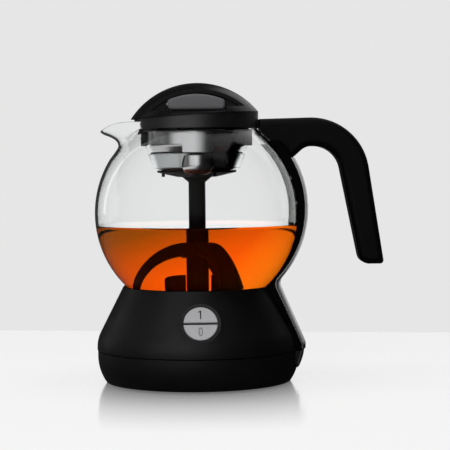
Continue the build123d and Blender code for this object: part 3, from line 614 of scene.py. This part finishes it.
def emission(tree, colour, strength=1.0):
    node = tree.nodes.new("ShaderNodeEmission")
    connect(tree, colour, node.inputs["Color"])
    connect(tree, strength, node.inputs["Strength"])
    return node.outputs["Emission"]


def mix_shader(tree, share, first, second):
    node = tree.nodes.new("ShaderNodeMixShader")
    connect(tree, share, node.inputs["Fac"])
    tree.links.new(first, node.inputs[1])
    tree.links.new(second, node.inputs[2])
    return node.outputs["Shader"]


def sheen(tree):
    """Share of mirror reflection in the floor, painted by distance: strong at the object, fading out around
    it.
    """
    coord = tree.nodes.new("ShaderNodeTexCoord")
    radius = tree.nodes.new("ShaderNodeVectorMath")
    radius.operation = "LENGTH"
    tree.links.new(coord.outputs["Object"], radius.inputs[0])
    near = map_range(tree, radius.outputs["Value"], (SHEEN_FAR, SHEEN_NEAR))
    return calc(tree, "MULTIPLY", calc(tree, "POWER", near, SHEEN_FALL), FLOOR_SHEEN)


def floor_material():
    """White floor with a painted reflection share round the object; what has been mirrored sees it dim."""
    mat, tree, bsdf, out = new_material("floor_white")
    cloud = mix_colour(tree, noise(tree, 3.0), (0.9, 0.9, 0.9, 1.0), (0.92, 0.92, 0.92, 1.0))
    tree.links.new(cloud, bsdf.inputs["Base Color"])
    bsdf.inputs["Roughness"].default_value = 0.9
    bsdf.inputs["Specular IOR Level"].default_value = 0.0
    glow = emission(tree, (FLOOR_WHITE, FLOOR_WHITE, FLOOR_WHITE, 1.0))
    glow_share = calc(tree, "MULTIPLY", straight_ray(tree), FLOOR_GLOW)
    lit = mix_shader(tree, glow_share, bsdf.outputs["BSDF"], glow)
    polish = tree.nodes.new("ShaderNodeBsdfGlossy")
    polish.inputs["Color"].default_value = (1.0, 1.0, 1.0, 1.0)
    polish.inputs["Roughness"].default_value = 0.12
    shiny = mix_shader(tree, sheen(tree), lit, polish.outputs["BSDF"])
    outside = mix_colour(tree, blend_along(tree, X_AXIS, MIRRORED_SPAN), MIRRORED_LEFT, MIRRORED_RIGHT)
    left = mix_colour(tree, blend_along(tree, X_AXIS, JUG_LEFT_SPAN), MIRRORED_RIGHT, JUG_LEFT)
    inside = mix_colour(tree, blend_along(tree, X_AXIS, JUG_RIGHT_SPAN), left, MIRRORED_RIGHT)
    dim = emission(tree, mix_colour(tree, has_met(tree, INSIDE_JUG), outside, inside))
    both = mix_shader(tree, has_met(tree, MIRRORED), shiny, dim)
    tree.links.new(both, out.inputs["Surface"])
    return mat


def film_material():
    """Nothing to see: rays that the floor's polish mirrors cross it and count as off the floor."""
    mat, tree, bsdf, out = new_material("floor_film")
    clear_film = tree.nodes.new("ShaderNodeBsdfTransparent")
    tree.links.new(clear_film.outputs["BSDF"], out.inputs["Surface"])
    tree.nodes.remove(bsdf)
    return mat


def tea_band(tree):
    """Light of the lower wall for rays that the inside of the jug has mirrored."""
    coord = tree.nodes.new("ShaderNodeTexCoord")
    split = tree.nodes.new("ShaderNodeSeparateXYZ")
    tree.links.new(coord.outputs["Object"], split.inputs["Vector"])
    low = calc(tree, "LESS_THAN", split.outputs["Z"], TEA_BAND_Z)
    return calc(tree, "MULTIPLY", has_met(tree, INSIDE_JUG), calc(tree, "MULTIPLY", low, TEA_BAND_LIGHT))


def rim_patch(tree):
    """Light of the right-hand wall for rays mirrored outside the jug; low down it ends early."""
    patch = calc(tree, "MULTIPLY", blend_along(tree, X_AXIS, PATCH_X), blend_along(tree, Z_AXIS, PATCH_Z))
    past_end = calc(tree, "MULTIPLY", blend_along(tree, X_AXIS, PATCH_X_END),
                    inverse(tree, blend_along(tree, Z_AXIS, PATCH_Z_HIGH)))
    patch = calc(tree, "MULTIPLY", patch, inverse(tree, past_end))
    outside = calc(tree, "MULTIPLY", inverse(tree, has_met(tree, INSIDE_JUG)), PATCH_LIGHT)
    return calc(tree, "ADD", calc(tree, "MULTIPLY", patch, outside), WALL_IN_OBJECT)


def wall_material():
    """Grey wall, seen from the front only: full for straight rays and the floor, dark for mirrored ones."""
    mat, tree, bsdf, out = new_material("wall_grey")
    bsdf.inputs["Base Color"].default_value = BACKDROP
    bsdf.inputs["Roughness"].default_value = 0.9
    in_floor = calc(tree, "MULTIPLY", has_met(tree, OFF_FLOOR), FLOOR_WHITE / BACKDROP[0])
    in_object = calc(tree, "MULTIPLY", inverse(tree, has_met(tree, OFF_FLOOR)),
                     calc(tree, "MAXIMUM", tea_band(tree), rim_patch(tree)))
    strength = tree.nodes.new("ShaderNodeMix")
    tree.links.new(has_met(tree, MIRRORED), strength.inputs[0])
    tree.links.new(behind_tea(tree), strength.inputs[2])
    tree.links.new(calc(tree, "ADD", in_floor, in_object), strength.inputs[3])
    glow = emission(tree, BACKDROP, strength.outputs[0])
    seen = calc(tree, "MAXIMUM", ray(tree, "Is Camera Ray"), mirrored_or_through(tree))
    front = mix_shader(tree, seen, bsdf.outputs["BSDF"], glow)
    side = tree.nodes.new("ShaderNodeNewGeometry")
    back = tree.nodes.new("ShaderNodeBsdfTransparent")
    both = mix_shader(tree, side.outputs["Backfacing"], front, back.outputs["BSDF"])
    tree.links.new(both, out.inputs["Surface"])
    return mat


def stage():
    """White floor with its film, and the wall behind the object."""
    level_plane("floor", 0.0, floor_material())
    near, far = WALL_Y + WALL_HALF * WALL_SLANT, WALL_Y - WALL_HALF * WALL_SLANT
    wall = plane("wall", [(-WALL_HALF, far, 0.0), (WALL_HALF, near, 0.0), (WALL_HALF, near, WALL_TOP),
                          (-WALL_HALF, far, WALL_TOP)], wall_material())
    wall.visible_shadow = False
    wall.visible_diffuse = False
    film = level_plane("film", FILM_Z, film_material())
    film.visible_shadow = False


stage()


# ---------------------------------------------------------------- studio light
# Tall soft strips: degrees to the right of the front, half angles of the full part and of the
# whole strip, strength.
STRIPS = ((-25.0, 12.0, 46.0, 1.15),
          (-98.0, 10.0, 36.0, 0.22),
          (-137.0, 4.0, 13.0, 2.2),
          (148.0, 8.0, 26.0, 0.6))
STRIP_TOP = (25.0, 45.0)            # degrees from straight up where the strips end
LID_PATCH = ((-0.25, -0.1, 1.0), 3.0, 15.0, 0.3)
AMBIENT = 0.46
GLOSS_FLOOR = 0.003
SIDE_DIM = 0.82                     # backdrop beside and behind the camera, of that ahead
AHEAD = ((0.0, 1.0, 0.0), 45.0, 110.0)

# Place, size in metres and watts; both lamps point at the jug.
LAMPS = (("overhead", (0.0, -0.1, 1.9), (1.8, 1.4), 23.0),
         ("front_low", (-0.35, -1.8, 0.42), (1.0, 0.4), 13.0))
LAMP_TARGET = (0.0, 0.0, 0.1)


def lobe(tree, vector, direction, inner, outer, strength):
    """Soft round patch about a direction, full to the inner angle and nothing past the outer."""
    dot = tree.nodes.new("ShaderNodeVectorMath")
    dot.operation = "DOT_PRODUCT"
    dot.inputs[1].default_value = Vector(direction).normalized()
    tree.links.new(vector, dot.inputs[0])
    edge = tree.nodes.new("ShaderNodeMapRange")
    edge.interpolation_type = "SMOOTHSTEP"
    edge.inputs["From Min"].default_value = math.cos(math.radians(outer))
    edge.inputs["From Max"].default_value = math.cos(math.radians(inner))
    edge.inputs["To Max"].default_value = strength
    tree.links.new(dot.outputs["Value"], edge.inputs["Value"])
    return edge.outputs["Result"]


def strip(tree, vector, azimuth, inner, outer, strength):
    """Tall soft strip of light about an azimuth in degrees to the right of the front."""
    flat = tree.nodes.new("ShaderNodeVectorMath")
    flat.operation = "MULTIPLY"
    flat.inputs[1].default_value = (1.0, 1.0, 0.0)
    tree.links.new(vector, flat.inputs[0])
    unit = tree.nodes.new("ShaderNodeVectorMath")
    unit.operation = "NORMALIZE"
    tree.links.new(flat.outputs["Vector"], unit.inputs[0])
    a = math.radians(azimuth)
    direction = (math.sin(a), -math.cos(a), 0.0)
    return lobe(tree, unit.outputs["Vector"], direction, inner, outer, strength)


def studio(tree, vector):
    """What mirrored rays see: the strips, cut off overhead, and the patch over the lid."""
    total = None
    for values in STRIPS:
        light = strip(tree, vector, *values)
        total = light if total is None else calc(tree, "MAXIMUM", total, light)
    top = lobe(tree, vector, Z_AXIS, *STRIP_TOP, 1.0)
    total = calc(tree, "MULTIPLY", total, inverse(tree, top))
    total = calc(tree, "MAXIMUM", total, lobe(tree, vector, *LID_PATCH))
    total = calc(tree, "ADD", total, GLOSS_FLOOR)
    in_floor = calc(tree, "MULTIPLY", has_met(tree, OFF_FLOOR), FLOOR_WHITE)
    return calc(tree, "MAXIMUM", total, in_floor)


def background(tree, strength):
    node = tree.nodes.new("ShaderNodeBackground")
    connect(tree, strength, node.inputs["Strength"])
    return node


def world():
    """Even ambient light, a studio in the reflections and the plain backdrop for straight rays."""
    w = bpy.data.worlds.new("studio")
    bpy.context.scene.world = w
    w.use_nodes = True
    tree = w.node_tree
    tree.nodes.clear()
    out = tree.nodes.new("ShaderNodeOutputWorld")
    vector = tree.nodes.new("ShaderNodeTexCoord").outputs["Generated"]
    ambient = background(tree, AMBIENT)
    mirrored = background(tree, studio(tree, vector))
    ahead = calc(tree, "ADD", lobe(tree, vector, *AHEAD, 1.0 - SIDE_DIM), SIDE_DIM)
    seen = background(tree, calc(tree, "MULTIPLY", ahead, behind_tea(tree)))
    seen.inputs["Color"].default_value = BACKDROP
    first = mix_shader(tree, mirrored_or_through(tree), ambient.outputs["Background"],
                       mirrored.outputs["Background"])
    both = mix_shader(tree, straight_ray(tree), first, seen.outputs["Background"])
    tree.links.new(both, out.inputs["Surface"])


def lamp(name, place, size, power):
    """Area lamp that lights the object and shows in no reflection."""
    light = bpy.data.lights.new(name, "AREA")
    light.shape = "RECTANGLE"
    light.size, light.size_y = size
    light.energy = power
    obj = bpy.data.objects.new(name, light)
    bpy.context.scene.collection.objects.link(obj)
    obj.location = place
    obj.rotation_euler = (Vector(LAMP_TARGET) - Vector(place)).to_track_quat("-Z", "Y").to_euler()
    obj.visible_glossy = False
    obj.visible_transmission = False


world()
for values in LAMPS:
    lamp(*values)


# ---------------------------------------------------------------- camera
PICTURE_PX = 450.0                  # width of the photo
FOCAL_PX = 1574.0                   # focal length in pixels of the photo
OFF_AXIS_PX = (27.7, 62.0)          # the picture's middle, right of the object and below the level
SENSOR = 36.0
CAMERA_DISTANCE, CAMERA_HEIGHT = 1.157, 0.1604
CAMERA_AZIMUTH = math.radians(1.4)  # round towards the spout
CAMERA_ROLL = math.radians(0.5)


def camera():
    """Camera in front of the object, level with the neck and looking a little down."""
    cam = bpy.data.cameras.new("camera")
    cam.sensor_width = SENSOR
    cam.lens = FOCAL_PX / PICTURE_PX * SENSOR
    cam.clip_end = 50.0
    obj = bpy.data.objects.new("camera", cam)
    bpy.context.scene.collection.objects.link(obj)
    yaw, pitch = (math.atan(shift / FOCAL_PX) for shift in OFF_AXIS_PX)
    place = Vector((-CAMERA_DISTANCE * math.sin(CAMERA_AZIMUTH),
                    -CAMERA_DISTANCE * math.cos(CAMERA_AZIMUTH), CAMERA_HEIGHT))
    turn = (Matrix.Rotation(-CAMERA_AZIMUTH - yaw, 4, "Z") @ Matrix.Rotation(math.pi / 2 - pitch, 4, "X")
            @ Matrix.Rotation(-CAMERA_ROLL, 4, "Z"))
    obj.matrix_world = Matrix.Translation(place) @ turn
    bpy.context.scene.camera = obj


camera()
bpy.context.scene.view_settings.view_transform = "Standard"
